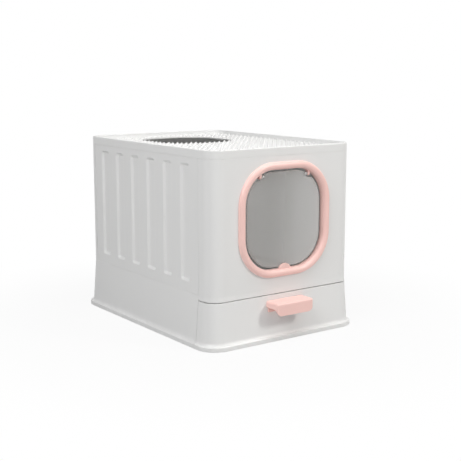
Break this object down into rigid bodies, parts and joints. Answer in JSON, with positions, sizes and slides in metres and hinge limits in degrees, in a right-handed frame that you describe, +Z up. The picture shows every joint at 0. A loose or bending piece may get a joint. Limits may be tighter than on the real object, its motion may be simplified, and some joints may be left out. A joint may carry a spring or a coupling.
{
  "type": "drawer litter box",
  "caption": "Enclosed cat litter box with a clear swing flap in a rounded door ring, a perforated lift-off lid with a top exit, and a pull-out litter drawer with a cup handle.",
  "frame": {"origin": "middle of the whole footprint, on the floor under the foot pads", "axes": "+Z up, -Y out of the front face with the door and the drawer, +X to the right seen from the front"},
  "size_m": [0.377, 0.5274, 0.38],
  "materials": {
    "white_shell": "satin moulded white plastic",
    "pink_trim": "satin moulded pale pink plastic",
    "clear_flap": "clear, slightly milky plastic sheet",
    "grey_inner": "plain moulded pale grey plastic",
    "steel_fixings": "zinc-plated steel",
    "rubber_pads": "matt soft rubber"
  },
  "bodies": {
    "housing": {"base_frame": "white_shell", "left_runner": "grey_inner", "right_runner": "grey_inner", "runner_screws": "steel_fixings", "foot_pads": "rubber_pads", "left_panel": "white_shell", "right_panel": "white_shell", "front_panel": "white_shell", "rear_panel": "white_shell", "door_ring": "pink_trim", "door_clamp_ring": "white_shell", "door_screws": "steel_fixings"},
    "lid": {"lid_frame": "white_shell", "lid_grid": "white_shell"},
    "flap": {"flap": "clear_flap", "flap_pins": "steel_fixings"},
    "drawer": {"litter_tray": "grey_inner", "drawer_front": "white_shell", "tray_screws": "steel_fixings", "drawer_handle": "pink_trim", "handle_screws": "steel_fixings"}
  },
  "joints": [
    {"name": "drawer_slide", "type": "slide", "parent": "housing", "child": "drawer", "axis": [0, -1, 0], "range_m": [0, 0.36]},
    {"name": "flap_swing", "type": "hinge", "parent": "housing", "child": "flap", "pos_m": [0, -0.22375, 0.324], "axis": [1, 0, 0], "range_deg": [0, 80]},
    {"name": "lid_lift", "type": "slide", "parent": "housing", "child": "lid", "axis": [0, 0, 1], "range_m": [0, 0.1]}
  ]
}
